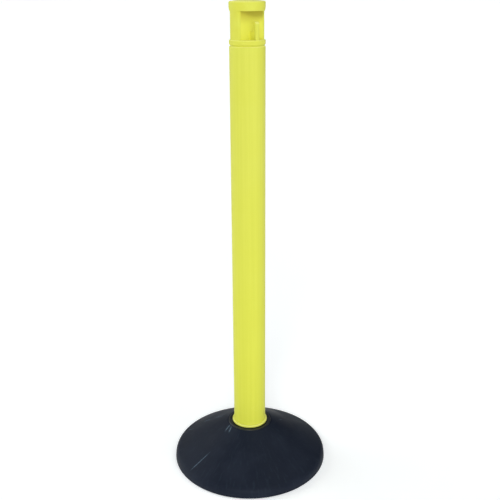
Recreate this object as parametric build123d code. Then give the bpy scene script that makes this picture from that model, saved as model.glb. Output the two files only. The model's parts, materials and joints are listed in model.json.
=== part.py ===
from build123d import *
from math import sqrt
import os

# Free-standing delineator post: a hook cap on a plastic tube, screwed into a weighted cone base.
# Millimetres, +Z up. The origin is on the floor, on the post's axis. The hooks face -Y and +Y.

# ---- driving dimensions ----
tube_radius = 37.5
tube_wall = 3.0
tube_foot = 100.0
tube_top = 972.5
tube_top_round = 1.6
base_radius = 182.0

# corner rounds and clearances that recur
crisp_round = 0.4
edge_round = 1.0
soft_round = 2.0
press_gap = 0.05
slide_gap = 0.3
overlap = 1.0

# base: a cone shell on an upright rim
foot_proud = 1.5
rim_height = 19.0
rim_round = 16.0
rim_draft = 1.5
hub_radius = 52.3
hub_height = 94.0
hub_recess = 4.5
shell_wall = 4.5
rim_wall = 5.0
sink = 1.0
plate_thickness = 4.0
fixings = 6
fixing_circle = 150.0
boss_radius = 7.0
screw_radius = 2.1
screw_head_radius = 4.6
screw_head_depth = 2.4
screw_length = 18.0
screw_gap = 0.2
pilot_extra = 1.0
cross_width = 1.1
cross_depth = 1.5
pad_radius = 14.0
pad_recess = 2.0
pad_gap = 0.15
cast_gap = 0.5

# centre fixing: one bolt through the dished middle of the plate
dish_radius = 26.0
dish_depth = 10.0
dish_slope = 6.0
dish_set_in = 2.0
bolt_radius = 5.0
bolt_head_height = 6.4
nut_height = 8.4
hex_width = 17.0
washer_radius = 14.0
washer_thickness = 2.0
bolt_stands_out = 2.5

# socket in the base and the screwed plug at the post's foot
sleeve_radius = 42.5
sleeve_floor = 4.0
collar_radius = 51.0
collar_proud = 1.3
collar_bore = 45.0
collar_web = 3.0
gasket_room = 2.5
plug_flange_radius = 41.3
plug_core_radius = 35.2
plug_bottom = 40.0
plug_wall = 3.5
plug_grip = 45.0
gasket_inner_radius = 36.6
thread_pitch = 8.0
thread_turns = 3
thread_height = 3.0
thread_gap = 0.4
thread_root_width = 4.4
thread_crest_width = 2.4
thread_start = 64.0
thread_bite = 0.3
pilot_drop = 1.0
pilot_taper = 3.0

# hook cap
groove_height = 2.5
groove_radius = 35.4
low_band_height = 10.0
pocket_height = 56.0
head_height = 19.0
neck_radius = 35.6
pocket_round = 5.0
pocket_flare = 0.3
head_round = 3.0
band_round = 1.9
ledge_round = 1.4
cap_wall = 3.0
spigot_length = 38.0
spigot_wall = 2.2
seal_cord = 2.6
seal_room = 0.3
pocket_back = 16.0
peg_width = 9.5
peg_thickness = 8.0
peg_height = 36.0
throat_depth = 20.0
peg_round = 6.0
peg_inner_round = 1.5
peg_edge_round = 1.2
lid_gap = 0.2
lid_wall = 2.5
lid_crown = 2.5
cove_above = 6.0
cove_below = 2.5
cove_round = 25.0

# ---- places worked out from them ----
tube_bore = tube_radius - tube_wall
hub_seat = hub_height - hub_recess
seat_height = hub_seat + collar_web
cone_slope = (hub_height - rim_height) / (base_radius - rim_draft - hub_radius)
shell_drop = shell_wall * sqrt(1 + cone_slope**2)
plate_bottom = foot_proud + sink
plate_top = plate_bottom + plate_thickness
dish_top = plate_top + dish_depth
sleeve_bore = plug_core_radius + slide_gap
sleeve_clear = sleeve_radius + slide_gap
collar_clear = collar_radius + slide_gap
thread_wall = plug_core_radius + thread_height + thread_gap
flange_bottom = seat_height + gasket_room
low_band_bottom = tube_top + groove_height
ledge = low_band_bottom + low_band_height
lip = ledge + pocket_height
head_top = lip + head_height
spigot_radius = tube_bore - slide_gap
spigot_bottom = tube_top - spigot_length
seal_height = tube_top - spigot_length / 2
seal_ring_radius = tube_bore - press_gap - seal_cord / 2
seal_groove_radius = seal_ring_radius - seal_cord / 2 - press_gap
lid_bore = neck_radius - lid_wall


def lathe(corners):
    """Solid turned about Z from (radius, height, corner round) triples, in order round its section."""
    section = make_face(Polyline([(r, z) for r, z, _ in corners], close=True))
    for r, z, rounding in corners:
        if rounding:
            corner = section.vertices().sort_by_distance((r, z, 0))[0]
            section = fillet(corner, rounding)
    return revolve(Plane.XZ * section, Axis.Z)


def ring(inner, outer, bottom, top):
    """Plain ring or, with no inner radius, disc."""
    return lathe([(inner, bottom, 0), (outer, bottom, 0), (outer, top, 0), (inner, top, 0)])


def upright(radius, bottom, top):
    """Upright cylinder from one height to another."""
    return Pos(0, 0, bottom) * Cylinder(radius, top - bottom, align=(Align.CENTER, Align.CENTER, Align.MIN))


def around(shape, first_angle):
    """The six copies of a shape that sits on the fixing circle, the first at an angle."""
    step = 360 / fixings
    return [Rot(0, 0, first_angle + step * i) * Pos(fixing_circle, 0, 0) * shape for i in range(fixings)]


def cone_underside(radius):
    """Height of the shell's sloping underside at a radius."""
    return hub_height - shell_drop - (radius - hub_radius) * cone_slope


def thread(root_radius, crest_radius, start):
    """Helical ridge, wide at its root, which bites into the wall it stands on, and narrow at its crest."""
    outward = 1 if crest_radius > root_radius else -1
    path = Helix(thread_pitch, thread_pitch * thread_turns, root_radius, center=(0, 0, start))
    tall = crest_radius - root_radius
    bite = outward * thread_bite
    section = Polyline(
        (-bite, -thread_root_width / 2),
        (0, -thread_root_width / 2),
        (tall, -thread_crest_width / 2),
        (tall, thread_crest_width / 2),
        (0, thread_root_width / 2),
        (-bite, thread_root_width / 2),
        close=True,
    )
    across = Plane(origin=path @ 0, x_dir=(1, 0, 0), z_dir=path % 0)
    return sweep(across * make_face(section), path=path, is_frenet=True)


def hexagon(bottom, height):
    """Bolt head or nut blank."""
    flat = RegularPolygon(hex_width / 2, 6, major_radius=False)
    return Pos(0, 0, bottom) * extrude(flat, height)


# ---- base ----
def base_shell():
    inner_top = hub_seat - shell_wall
    inner_corner = hub_radius + (hub_height - shell_drop - inner_top) / cone_slope
    rim_inner = base_radius - rim_wall
    shell = lathe(
        [
            (base_radius, foot_proud, edge_round),
            (base_radius - rim_draft, rim_height, rim_round),
            (hub_radius, hub_height, crisp_round),
            (collar_clear, hub_height, crisp_round),
            (collar_clear, hub_seat, 0),
            (sleeve_clear, hub_seat, 0),
            (sleeve_clear, inner_top, 0),
            (inner_corner, inner_top, 0),
            (rim_inner, cone_underside(rim_inner), 0),
            (rim_inner, foot_proud, 0),
        ]
    )
    near = fixing_circle - boss_radius - overlap
    far = fixing_circle + boss_radius + overlap
    half_wall = shell_drop / 2
    under_cone = lathe(
        [
            (near, plate_top, 0),
            (far, plate_top, 0),
            (far, cone_underside(far) + half_wall, 0),
            (near, cone_underside(near) + half_wall, 0),
        ]
    )
    blank = upright(boss_radius, plate_top, hub_height)
    pilot = upright(screw_radius + press_gap, plate_top, plate_bottom + screw_length + pilot_extra)
    for boss in around(blank, 0):
        shell += boss & under_cone
    for hole in around(pilot, 0):
        shell -= hole
    return shell


def ballast():
    """Cast weight that fills the shell round the socket."""
    bottom = plate_top + cast_gap
    outer = base_radius - rim_wall - cast_gap
    inner = sleeve_radius + cast_gap
    top = hub_seat - shell_wall - cast_gap
    clear = cast_gap * sqrt(1 + cone_slope**2)
    top_radius = hub_radius + (hub_height - shell_drop - clear - top) / cone_slope
    cast = lathe(
        [
            (inner, bottom, 0),
            (outer, bottom, 0),
            (outer, cone_underside(outer) - clear, 0),
            (top_radius, top, 0),
            (inner, top, 0),
        ]
    )
    passage = upright(boss_radius + cast_gap, 0, hub_height)
    for hole in around(passage, 0):
        cast -= hole
    return cast


def screw_cone(extra):
    """Countersunk screw head, or with extra size the countersink for it."""
    return Pos(0, 0, plate_bottom) * Cone(
        screw_head_radius + extra,
        screw_radius + extra,
        screw_head_depth,
        align=(Align.CENTER, Align.CENTER, Align.MIN),
    )


def base_plate():
    outer = base_radius - rim_wall - slide_gap
    hole = bolt_radius + slide_gap
    inner_dish = dish_radius - dish_set_in
    plate = lathe(
        [
            (hole, dish_top - plate_thickness, 0),
            (inner_dish, dish_top - plate_thickness, soft_round),
            (inner_dish + dish_slope, plate_bottom, soft_round),
            (outer, plate_bottom, edge_round),
            (outer, plate_top, 0),
            (dish_radius + dish_slope, plate_top, soft_round),
            (dish_radius, dish_top, soft_round),
            (hole, dish_top, 0),
        ]
    )
    clearance_hole = upright(screw_radius + screw_gap, 0, hub_height) + screw_cone(screw_gap)
    pad_seat = upright(pad_radius + pad_gap, 0, plate_bottom + pad_recess)
    for cut in around(clearance_hole, 0) + around(pad_seat, 180 / fixings):
        plate -= cut
    return plate


def plate_screws():
    shank = upright(screw_radius, plate_bottom, plate_bottom + screw_length)
    slot = Box(screw_head_radius, cross_width, 2 * cross_depth)
    cross = Pos(0, 0, plate_bottom) * (slot + Rot(0, 0, 90) * slot)
    return Compound(around(shank + screw_cone(0) - cross, 0))


def rubber_feet():
    pad = upright(pad_radius, 0, plate_bottom + pad_recess)
    pad = chamfer(pad.edges().sort_by(Axis.Z)[0], edge_round)
    return Compound(around(pad, 180 / fixings))


def socket_sleeve():
    """Socket with a collar on the hub, a seat for the gasket, an inside thread and a plain pilot bore."""
    collar_top = hub_height + collar_proud
    pilot_top = thread_start - thread_pitch - pilot_drop
    hole = bolt_radius + slide_gap
    body = lathe(
        [
            (hole, dish_top, 0),
            (sleeve_radius, dish_top, soft_round),
            (sleeve_radius, hub_seat, 0),
            (collar_radius, hub_seat, edge_round),
            (collar_radius, collar_top, soft_round),
            (collar_bore, collar_top, edge_round),
            (collar_bore, seat_height, 0),
            (thread_wall, seat_height, 0),
            (thread_wall, pilot_top, 0),
            (sleeve_bore, pilot_top - pilot_taper, 0),
            (sleeve_bore, dish_top + sleeve_floor, 0),
            (hole, dish_top + sleeve_floor, 0),
        ]
    )
    crest = plug_core_radius + thread_gap
    return body + thread(thread_wall, crest, thread_start - thread_pitch / 2)


def centre_bolt():
    head_top = dish_top - plate_thickness - washer_thickness
    end = dish_top + sleeve_floor + washer_thickness + nut_height + bolt_stands_out
    return hexagon(head_top - bolt_head_height, bolt_head_height) + upright(bolt_radius, head_top, end)


def bolt_washers():
    under = dish_top - plate_thickness - washer_thickness
    over = dish_top + sleeve_floor
    return Compound(
        [ring(bolt_radius + slide_gap, washer_radius, z, z + washer_thickness) for z in (under, over)]
    )


def centre_nut():
    bottom = dish_top + sleeve_floor + washer_thickness
    return hexagon(bottom, nut_height) - upright(bolt_radius + press_gap, bottom, bottom + nut_height)


# ---- post ----
def foot_gasket():
    outer = plug_flange_radius - slide_gap
    return ring(gasket_inner_radius, outer, seat_height + press_gap, flange_bottom - press_gap)


def foot_plug():
    """Plug with a grip inside the tube, a flange under the tube's end and a screwed spigot below."""
    grip_radius = tube_bore - press_gap
    grip_top = tube_foot + plug_grip
    body = lathe(
        [
            (0, plug_bottom, 0),
            (plug_core_radius, plug_bottom, soft_round),
            (plug_core_radius, flange_bottom, 0),
            (plug_flange_radius, flange_bottom, edge_round),
            (plug_flange_radius, tube_foot, soft_round),
            (grip_radius, tube_foot, 0),
            (grip_radius, grip_top, edge_round),
            (grip_radius - plug_wall, grip_top, 0),
            (grip_radius - plug_wall, plug_bottom + plug_wall, soft_round),
            (0, plug_bottom + plug_wall, 0),
        ]
    )
    return body + thread(plug_core_radius, plug_core_radius + thread_height, thread_start)


def post_tube():
    return lathe(
        [
            (tube_bore, tube_foot, 0),
            (tube_radius, tube_foot, edge_round),
            (tube_radius, tube_top, tube_top_round),
            (tube_bore, tube_top, crisp_round),
        ]
    )


# ---- cap ----
def cap_o_ring():
    return Pos(0, 0, seal_height) * Torus(seal_ring_radius, seal_cord / 2)


def cap_outside():
    """The cap's turned outside, before its pockets are cut."""
    groove_half = seal_cord / 2 + seal_room
    return lathe(
        [
            (0, spigot_bottom, 0),
            (spigot_radius, spigot_bottom, edge_round),
            (spigot_radius, seal_height - groove_half, 0),
            (seal_groove_radius, seal_height - groove_half, 0),
            (seal_groove_radius, seal_height + groove_half, 0),
            (spigot_radius, seal_height + groove_half, 0),
            (spigot_radius, tube_top, 0),
            (groove_radius, tube_top, 0),
            (groove_radius, low_band_bottom, 0),
            (tube_radius, low_band_bottom, band_round),
            (tube_radius, ledge, ledge_round),
            (neck_radius, ledge, crisp_round),
            (neck_radius, lip - cove_below, cove_round),
            (tube_radius, lip + cove_above, cove_round),
            (tube_radius, head_top, head_round),
            (0, head_top, 0),
        ]
    )


def cap_hollow():
    """The space inside the spigot and between the pockets' back walls."""
    radius = spigot_radius - seal_cord - spigot_wall
    low = upright(radius, spigot_bottom, ledge - cap_wall)
    slab = Pos(0, 0, spigot_bottom) * Box(
        2 * radius,
        2 * (pocket_back - cap_wall),
        lip - spigot_bottom,
        align=(Align.CENTER, Align.CENTER, Align.MIN),
    )
    return low + (upright(radius, spigot_bottom, lip) & slab)


def hook_peg():
    """Upright peg that faces -Y, on a web from the pocket's back. The throat behind it has a round floor."""
    outer = -neck_radius
    inner = outer + peg_thickness
    back = overlap - pocket_back
    foot = ledge - overlap
    top = ledge + peg_height
    throat_floor = top - throat_depth
    throat_round = (-pocket_back - inner) / 2
    side = Polyline(
        (back, foot),
        (outer, foot),
        (outer, top),
        (inner, top),
        (inner, throat_floor),
        (back, throat_floor),
        close=True,
    )
    profile = make_face(side)
    rounds = ((outer, top, peg_round), (inner, top, peg_inner_round), (inner, throat_floor, throat_round))
    for y, z, rounding in rounds:
        profile = fillet(profile.vertices().sort_by_distance((y, z, 0))[0], rounding)
    blank = extrude(Plane.YZ * profile, peg_width / 2, both=True)
    front_edges = blank.edges().filter_by(Axis.Z).group_by(Axis.Y)[0]
    return fillet(front_edges, peg_edge_round) & upright(neck_radius, foot, lip)


def pockets():
    """The two pockets' space: all that is in front of or behind the neck's web, whose corners are soft."""
    width = 4 * tube_radius
    web = Circle(neck_radius + pocket_flare) & Rectangle(width, 2 * pocket_back)
    web = fillet(web.vertices(), pocket_round)
    beside_web = Rectangle(width, 2 * pocket_back - pocket_round)
    return Pos(0, 0, ledge) * extrude(Rectangle(width, width) - beside_web - web, pocket_height)


def hook_cap():
    head_bore = upright(lid_bore, lip + cap_wall, head_top + overlap)
    cap = cap_outside() - cap_hollow() - head_bore - pockets()
    for side in (0, 180):
        cap += Rot(0, 0, side) * hook_peg()
    return cap


def cap_lid():
    """Crowned lid with a skirt, set in the cap's cored-out head."""
    radius = lid_bore - lid_gap
    inside = radius - lid_wall
    floor = lip + cap_wall
    top = head_top + lid_crown
    blank = lathe(
        [
            (0, head_top - cap_wall, 0),
            (inside, head_top - cap_wall, edge_round),
            (inside, floor, 0),
            (radius, floor, 0),
            (radius, top, 0),
            (0, top, 0),
        ]
    )
    crown_radius = (radius**2 + lid_crown**2) / (2 * lid_crown)
    return blank & Pos(0, 0, top - crown_radius) * Sphere(crown_radius)


makers = [
    base_shell,
    ballast,
    base_plate,
    plate_screws,
    rubber_feet,
    socket_sleeve,
    centre_bolt,
    bolt_washers,
    centre_nut,
    foot_gasket,
    foot_plug,
    post_tube,
    cap_o_ring,
    hook_cap,
    cap_lid,
]
os.makedirs("parts", exist_ok=True)
for maker in makers:
    export_step(maker(), f"parts/{maker.__name__}.step")
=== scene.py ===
import json
from math import atan2, cos, radians, sin
from random import Random

import bmesh
import bpy
from mathutils import Matrix, Vector


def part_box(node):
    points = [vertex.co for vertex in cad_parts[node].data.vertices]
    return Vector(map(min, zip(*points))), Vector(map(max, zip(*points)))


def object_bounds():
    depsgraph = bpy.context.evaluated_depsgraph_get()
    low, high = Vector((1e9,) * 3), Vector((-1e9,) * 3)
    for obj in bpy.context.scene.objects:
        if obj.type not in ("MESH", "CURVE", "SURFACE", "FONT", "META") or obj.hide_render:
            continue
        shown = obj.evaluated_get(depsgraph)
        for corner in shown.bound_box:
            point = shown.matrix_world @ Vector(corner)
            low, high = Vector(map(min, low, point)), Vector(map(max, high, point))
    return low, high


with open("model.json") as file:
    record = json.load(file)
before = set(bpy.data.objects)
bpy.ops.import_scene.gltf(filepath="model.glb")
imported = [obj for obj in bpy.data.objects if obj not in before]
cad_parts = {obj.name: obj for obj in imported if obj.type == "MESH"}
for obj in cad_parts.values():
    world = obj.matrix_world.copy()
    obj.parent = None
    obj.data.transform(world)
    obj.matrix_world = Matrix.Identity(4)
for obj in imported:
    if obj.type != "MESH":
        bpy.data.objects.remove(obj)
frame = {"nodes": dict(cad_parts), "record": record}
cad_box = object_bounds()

# A hook-cap delineator post: a yellow tube on a weighted black cone. Metres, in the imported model's frame.

post_height = cad_box[1].z - cad_box[0].z
tube_low, tube_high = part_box("post_tube")
tube_radius = (tube_high.x - tube_low.x) / 2
tube_foot, tube_top = tube_low.z, tube_high.z
shell_low, shell_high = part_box("base_shell")
base_radius = (shell_high.x - shell_low.x) / 2

# The camera stands to the left of the front hook, and the softboxes are placed from where it stands.
camera_azimuth = radians(-36)
softbox_colour = (0.94, 0.98, 1.0)

# Yellows that more than one piece has.
moulded_yellow = (0.68, 0.685, 0.095)
deep_yellow = (0.66, 0.65, 0.074)
# painted light: a pale whitish yellow laid on faces that look up, for the light and sheen from above
lit_top_yellow = (0.80, 0.79, 0.18)


# ---- camera, light and floor ----
def add_camera():
    """Looks down at the post from a little above its top."""
    pitch = radians(19.45)
    roll = radians(-0.336)
    distance = 1.479 * post_height
    height = 1.0213 * post_height
    aside = 0.08 * tube_radius
    ahead = Vector((-sin(camera_azimuth), cos(camera_azimuth), 0))
    right = Vector((cos(camera_azimuth), sin(camera_azimuth), 0))
    look = ahead * cos(pitch) - Vector((0, 0, sin(pitch)))
    up = right.cross(look)
    turned_right = right * cos(roll) + up * sin(roll)
    turned_up = up * cos(roll) - right * sin(roll)
    axes = Matrix((turned_right, turned_up, -look)).transposed().to_4x4()
    place = right * aside - ahead * distance + Vector((0, 0, height))
    camera = bpy.data.objects.new("camera", bpy.data.cameras.new("camera"))
    camera.data.lens = 53.546
    camera.matrix_world = Matrix.Translation(place) @ axes
    bpy.context.scene.collection.objects.link(camera)
    bpy.context.scene.camera = camera


def add_softbox(name, azimuth, elevation, spread, strength):
    """A distant soft light, at an azimuth that is 0 behind the camera and grows to its right."""
    lamp = bpy.data.lights.new(name, "SUN")
    lamp.angle = radians(spread)
    lamp.energy = strength
    lamp.color = softbox_colour
    sun = bpy.data.objects.new(name, lamp)
    turn = camera_azimuth + radians(azimuth)
    rise = radians(elevation)
    towards = Vector((sin(turn) * cos(rise), -cos(turn) * cos(rise), sin(rise)))
    sun.rotation_mode = "QUATERNION"
    sun.rotation_quaternion = towards.to_track_quat("Z", "Y")
    bpy.context.scene.collection.objects.link(sun)


def add_world(seen, glow):
    """A white backdrop, of which only a weak glow falls on the post."""
    world = bpy.data.worlds.new("studio")
    world.use_nodes = True
    bpy.context.scene.world = world
    tree = world.node_tree
    background = tree.nodes["Background"]
    background.inputs["Color"].default_value = (1, 1, 1, 1)
    ray = tree.nodes.new("ShaderNodeLightPath")
    strength = tree.nodes.new("ShaderNodeMapRange")
    strength.inputs["To Min"].default_value = glow
    strength.inputs["To Max"].default_value = seen
    tree.links.new(ray.outputs["Is Camera Ray"], strength.inputs["Value"])
    tree.links.new(strength.outputs["Result"], background.inputs["Strength"])


def add_floor(glow):
    """White paper that glows a little, up to the horizon."""
    radius = 70 * post_height
    mesh = bpy.data.meshes.new("floor")
    work = bmesh.new()
    bmesh.ops.create_circle(work, cap_ends=True, segments=96, radius=radius)
    work.to_mesh(mesh)
    work.free()
    floor = bpy.data.objects.new("floor", mesh)
    bpy.context.scene.collection.objects.link(floor)
    constants = {
        "Roughness": 0.9,
        "Specular IOR Level": 0.1,
        "Emission Color": (1, 1, 1, 1),
        "Emission Strength": glow,
    }
    finish = Finish("floor_paper", constants)
    mottle = finish.noise(3, 2)
    finish.colour(finish.blend(mottle, (0.9, 0.9, 0.9), (0.94, 0.94, 0.94)))
    mesh.materials.append(finish.material)


# ---- material building ----
class Finish:
    """One procedural material: its calls add the nodes that feed the shader."""

    def __init__(self, name, constants):
        self.material = bpy.data.materials.new(name)
        self.material.use_nodes = True
        self.tree = self.material.node_tree
        self.shader = self.tree.nodes["Principled BSDF"]
        for socket, value in constants.items():
            self.shader.inputs[socket].default_value = value
        coordinates = self.add("ShaderNodeTexCoord", {}).outputs
        self.place = coordinates["Object"]
        self.facing = coordinates["Normal"]

    def add(self, kind, inputs, **settings):
        """A node with its settings, each input a number, a colour or another node's output."""
        node = self.tree.nodes.new(kind)
        for setting, value in settings.items():
            setattr(node, setting, value)
        for socket, value in inputs.items():
            if isinstance(value, bpy.types.NodeSocket):
                self.tree.links.new(value, node.inputs[socket])
            else:
                node.inputs[socket].default_value = value
        return node

    def stretched(self, scale):
        """The object's coordinates, scaled along each axis."""
        return self.add("ShaderNodeMapping", {"Vector": self.place, "Scale": scale}).outputs["Vector"]

    def noise(self, scale, detail, place=None, distortion=0.0):
        """Noise over the object's coordinates, or over a place worked out from them."""
        inputs = {"Vector": place or self.place, "Scale": scale, "Detail": detail, "Distortion": distortion}
        return self.add("ShaderNodeTexNoise", inputs).outputs["Fac"]

    def span(self, value, start, end, low=0.0, high=1.0):
        """The value, brought smoothly from start..end to low..high."""
        inputs = {"Value": value, "From Min": start, "From Max": end, "To Min": low, "To Max": high}
        return self.add("ShaderNodeMapRange", inputs, interpolation_type="SMOOTHSTEP").outputs["Result"]

    def math(self, operation, first, second=0.0):
        """One or two values, put through an operation."""
        inputs = {0: first, 1: second}
        return self.add("ShaderNodeMath", inputs, operation=operation).outputs["Value"]

    def parts(self, vector):
        """The X, Y and Z outputs of a vector."""
        return self.add("ShaderNodeSeparateXYZ", {"Vector": vector}).outputs

    def across(self):
        """The object's coordinates without their height."""
        flat = self.add("ShaderNodeVectorMath", {0: self.place, 1: (1, 1, 0)}, operation="MULTIPLY")
        return flat.outputs["Vector"]

    def from_axis(self):
        """The distance from the Z axis."""
        return self.add("ShaderNodeVectorMath", {0: self.across()}, operation="LENGTH").outputs["Value"]

    def upward(self):
        """1 on faces that look up, 0 on walls."""
        return self.span(self.parts(self.facing)["Z"], 0.05, 0.5)

    def spokes(self, count, drift):
        """Noise in lines that run away from the Z axis, and change along it by a drift per metre."""
        out = self.add("ShaderNodeVectorMath", {0: self.across()}, operation="NORMALIZE")
        fan = self.parts(out.outputs["Vector"])
        along = self.math("MULTIPLY", self.from_axis(), drift / count)
        inputs = {"X": fan["X"], "Y": fan["Y"], "Z": along}
        return self.noise(count, 3, self.add("ShaderNodeCombineXYZ", inputs).outputs["Vector"])

    def scuff(self, start, end, width):
        """A scraped line, seen from above, between two (x, y) points: ragged, and faded at both ends."""
        run = end - start
        turn = (0, 0, atan2(run.y, run.x))
        inputs = {"Vector": self.place, "Location": (start.x, start.y, 0), "Rotation": turn}
        mapping = self.add("ShaderNodeMapping", inputs, vector_type="TEXTURE")
        line = self.parts(mapping.outputs["Vector"])
        near = self.span(self.math("ABSOLUTE", line["Y"]), 0, width, 1, 0)
        begun = self.span(line["X"], 0, 0.3 * run.length)
        ended = self.span(line["X"], 0.6 * run.length, run.length, 1, 0)
        ragged = self.span(self.noise(1.5 / width, 3), 0.35, 0.55)
        whole = self.math("MULTIPLY", near, ragged)
        return self.math("MULTIPLY", whole, self.math("MULTIPLY", begun, ended))

    def blend(self, share, first, second):
        """A colour that goes from the first to the second."""
        node = self.add("ShaderNodeMix", {"Factor": share}, data_type="RGBA")
        colours_in = [socket for socket in node.inputs if socket.type == "RGBA"]
        colours_out = [socket for socket in node.outputs if socket.type == "RGBA"]
        for socket, value in zip(colours_in, (first, second)):
            if isinstance(value, bpy.types.NodeSocket):
                self.tree.links.new(value, socket)
            else:
                socket.default_value = (*value, 1)
        return colours_out[0]

    def bump(self, height, depth, below=None):
        """Relief of a depth in metres, on top of any relief below it."""
        inputs = {"Height": height, "Distance": depth, "Strength": 1.0}
        if below:
            inputs["Normal"] = below
        return self.add("ShaderNodeBump", inputs).outputs["Normal"]

    def colour(self, output):
        """Sets the shader's colour."""
        self.tree.links.new(output, self.shader.inputs["Base Color"])

    def roughness(self, output):
        """Sets how dull the shader is."""
        self.tree.links.new(output, self.shader.inputs["Roughness"])

    def normal(self, output):
        """Sets the shader's relief."""
        self.tree.links.new(output, self.shader.inputs["Normal"])


# ---- the object's finishes ----
def tube_finish():
    """Extruded plastic: faint lines along the tube, mottle, soft gloss, and scratches towards its foot."""
    finish = Finish("tube_plastic", {"Specular IOR Level": 0.1})
    lines = finish.noise(240, 3, finish.stretched((1, 1, 0.012)))
    mottle = finish.noise(9, 4)
    grain = finish.noise(900, 2)
    scratches = finish.noise(300, 2, finish.stretched((0.25, 0.25, 2.5)), 1.2)
    height = finish.parts(finish.place)["Z"]
    # painted light: the yellow is bluer towards the top and deeper towards the foot, for the bluish fill
    # that the black base takes away near the foot
    low = finish.blend(finish.span(lines, 0.3, 0.7), (0.66, 0.665, 0.067), (0.69, 0.69, 0.076))
    high = finish.blend(finish.span(lines, 0.3, 0.7), (0.65, 0.655, 0.090), (0.68, 0.68, 0.100))
    plain = finish.blend(finish.span(height, tube_foot, tube_top), low, high)
    toned = finish.blend(finish.span(mottle, 0.35, 0.7, 0, 0.35), plain, (0.65, 0.65, 0.066))
    worn = finish.span(height, tube_foot, tube_foot + 5 * tube_radius, 0.5, 0.12)
    rubbed = finish.math("MULTIPLY", finish.span(scratches, 0.66, 0.78), worn)
    # faces that look up get painted light: a paler, whiter yellow for the light and sheen from above
    lit_on_top = finish.blend(finish.upward(), toned, lit_top_yellow)
    finish.colour(finish.blend(rubbed, lit_on_top, (0.77, 0.76, 0.28)))
    gloss = finish.span(mottle, 0.3, 0.7, 0.36, 0.5)
    finish.roughness(finish.math("ADD", gloss, finish.math("MULTIPLY", rubbed, 0.3)))
    relief = finish.bump(lines, 0.00006)
    finish.normal(finish.bump(grain, 0.00002, relief))
    return finish.material


def moulded(name, deep):
    """A finish of moulded yellow plastic with a fine orange peel, and its colour, paled on faces that look
    up by painted light from above.
    """
    finish = Finish(name, {"Specular IOR Level": 0.1})
    mottle = finish.noise(22, 5)
    peel = finish.noise(650, 3)
    finish.roughness(finish.span(mottle, 0.3, 0.7, 0.38, 0.5))
    finish.normal(finish.bump(peel, 0.00004))
    plain = finish.blend(finish.span(mottle, 0.3, 0.7), moulded_yellow, deep)
    # faces that look up get painted light: a paler, whiter yellow for the light and sheen from above
    return finish, finish.blend(finish.upward(), plain, lit_top_yellow)


def moulded_finish(name, deep):
    """Moulded yellow plastic, alike all over."""
    finish, plain = moulded(name, deep)
    finish.colour(plain)
    return finish.material


def pocket_heights():
    """The heights of the pockets' floor and lip, from the record's list of open spaces."""
    openings = frame["record"]["physics"]["openings"]
    heights = [corner[2] for opening in openings for corner in opening["box_m"]]
    return min(heights), max(heights)


def hook_finish():
    """Moulded yellow plastic, brightened in the pockets by painted light, and darkened below their lips by
    a painted shadow.
    """
    finish, plain = moulded("hook_plastic", deep_yellow)
    pocket_floor, lip = pocket_heights()
    inside = finish.span(finish.from_axis(), 0.8 * tube_radius, 0.9 * tube_radius, 1, 0)
    height = finish.parts(finish.place)["Z"]
    lip_shadow_share = finish.span(height, (pocket_floor + lip) / 2, lip)
    # painted light: a brighter yellow in the pockets for the light bounced inside them; painted shadow: a
    # browner yellow below the lips
    pocket_light_yellow = (0.76, 0.74, 0.088)
    lip_shadow_yellow = (0.54, 0.475, 0.05)
    finish.colour(finish.blend(inside, plain, finish.blend(lip_shadow_share, pocket_light_yellow, lip_shadow_yellow)))
    return finish.material


def on_base(angle, share):
    """The (x, y) point at an angle in degrees from the front, and at a share of the base's radius."""
    turn = radians(angle)
    return Vector((sin(turn), -cos(turn))) * (share * base_radius)


def base_finish():
    """Semi-gloss black plastic, faintly pebbled: dusty, dragged on the ground, scraped by the post."""
    finish = Finish("base_plastic", {"Specular IOR Level": 0.14})
    pebble = finish.noise(520, 3)
    dust = finish.noise(14, 6, distortion=0.4)
    streaks = finish.spokes(34, 60)
    plain = finish.blend(finish.span(dust, 0.4, 0.75), (0.006, 0.0095, 0.020), (0.012, 0.0165, 0.029))
    streaked = finish.blend(finish.span(streaks, 0.52, 0.75, 0, 0.4), plain, (0.017, 0.027, 0.040))
    # a long scrape at the left, two rubs beside the collar, and two scrapes in line at the back
    scuffs = [
        finish.scuff(on_base(-89, 0.98), on_base(-86, 0.64), 0.0020),
        finish.scuff(on_base(-100, 0.28), on_base(-93, 0.40), 0.0030),
        finish.scuff(on_base(-94, 0.28), on_base(-83, 0.38), 0.0030),
        finish.scuff(on_base(-154, 0.73), on_base(-156, 0.60), 0.0030),
        finish.scuff(on_base(-156, 0.58), on_base(-162, 0.36), 0.0022),
    ]
    # short scrapes at the right and the back
    draw = Random(5)
    for _ in range(8):
        angle = draw.uniform(45, 220)
        share = draw.uniform(0.4, 0.85)
        end = on_base(angle + draw.uniform(-7, 7), share + draw.uniform(0.05, 0.14))
        scuffs.append(finish.scuff(on_base(angle, share), end, draw.uniform(0.0008, 0.0016)))
    scraped = scuffs[0]
    for scuff in scuffs[1:]:
        scraped = finish.math("MAXIMUM", scraped, scuff)
    finish.colour(finish.blend(finish.math("MULTIPLY", scraped, 0.65), streaked, (0.16, 0.23, 0.30)))
    dull = finish.span(dust, 0.3, 0.75, 0.52, 0.68)
    finish.roughness(finish.math("ADD", dull, finish.math("MULTIPLY", scraped, 0.2)))
    relief = finish.bump(pebble, 0.00008)
    finish.normal(finish.bump(scraped, 0.00015, relief))
    return finish.material


def black_finish(name, gloss, light):
    """Black moulded plastic, faintly pebbled, with dust in patches."""
    finish = Finish(name, {"Specular IOR Level": gloss})
    pebble = finish.noise(520, 3)
    dust = finish.noise(30, 6, distortion=0.4)
    finish.colour(finish.blend(finish.span(dust, 0.42, 0.75), (0.0025, 0.0035, 0.0065), light))
    finish.roughness(finish.span(dust, 0.3, 0.75, 0.32, 0.48))
    finish.normal(finish.bump(pebble, 0.00004))
    return finish.material


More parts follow.
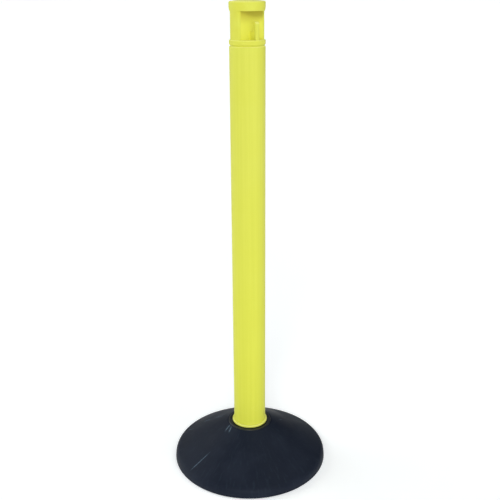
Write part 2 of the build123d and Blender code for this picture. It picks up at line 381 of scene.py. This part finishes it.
def cement_finish():
    """Rough cast cement, stained in patches."""
    finish = Finish("cast_cement", {"Roughness": 0.92, "Specular IOR Level": 0.3})
    grit = finish.noise(160, 6)
    stain = finish.noise(12, 3)
    plain = finish.blend(finish.span(grit, 0.35, 0.65), (0.36, 0.35, 0.32), (0.52, 0.51, 0.47))
    finish.colour(finish.blend(finish.span(stain, 0.4, 0.7, 0, 0.5), plain, (0.27, 0.26, 0.24)))
    finish.normal(finish.bump(grit, 0.0006))
    return finish.material


def rubber_finish():
    """Matt black rubber with a grey bloom."""
    finish = Finish("soft_rubber", {"Specular IOR Level": 0.25})
    grain = finish.noise(800, 3)
    bloom = finish.noise(60, 4)
    finish.colour(finish.blend(finish.span(bloom, 0.35, 0.7), (0.016, 0.016, 0.017), (0.034, 0.034, 0.035)))
    finish.roughness(finish.span(bloom, 0.3, 0.7, 0.7, 0.88))
    finish.normal(finish.bump(grain, 0.00006))
    return finish.material


def zinc_finish():
    """Brushed zinc plate, clouded."""
    finish = Finish("zinc_plate", {"Metallic": 1.0})
    brushing = finish.noise(900, 2, finish.stretched((1, 1, 0.05)))
    clouds = finish.noise(120, 4)
    finish.colour(finish.blend(finish.span(clouds, 0.3, 0.7), (0.56, 0.57, 0.58), (0.68, 0.68, 0.66)))
    finish.roughness(finish.span(clouds, 0.3, 0.7, 0.28, 0.42))
    finish.normal(finish.bump(brushing, 0.00001))
    return finish.material


def dress(material, *names):
    """Gives CAD nodes their finish."""
    for name in names:
        for slot in frame["nodes"][name].material_slots:
            slot.material = material


# ---- the scene ----
add_camera()
bpy.context.scene.view_settings.view_transform = "Standard"
add_world(seen=1.0, glow=0.05)
add_softbox("front", azimuth=-4, elevation=27, spread=20, strength=1.42)
add_softbox("fill", azimuth=30, elevation=6, spread=30, strength=0.60)
add_softbox("above", azimuth=10, elevation=55, spread=50, strength=0.50)
add_softbox("right", azimuth=85, elevation=55, spread=50, strength=0.74)
add_softbox("left_rim", azimuth=-110, elevation=25, spread=50, strength=1.60)
add_softbox("back", azimuth=180, elevation=35, spread=40, strength=0.15)
add_floor(glow=0.3)

dress(tube_finish(), "post_tube")
dress(hook_finish(), "hook_cap")
dress(moulded_finish("lid_plastic", deep_yellow), "cap_lid")
dress(moulded_finish("plug_plastic", (0.70, 0.69, 0.105)), "foot_plug")
dress(base_finish(), "base_shell")
dress(black_finish("socket_plastic", 0.5, (0.016, 0.018, 0.022)), "socket_sleeve")
dress(black_finish("plate_plastic", 0.2, (0.008, 0.0085, 0.0095)), "base_plate")
dress(cement_finish(), "ballast")
dress(rubber_finish(), "rubber_feet", "foot_gasket", "cap_o_ring")
dress(zinc_finish(), "plate_screws", "centre_bolt", "bolt_washers", "centre_nut")
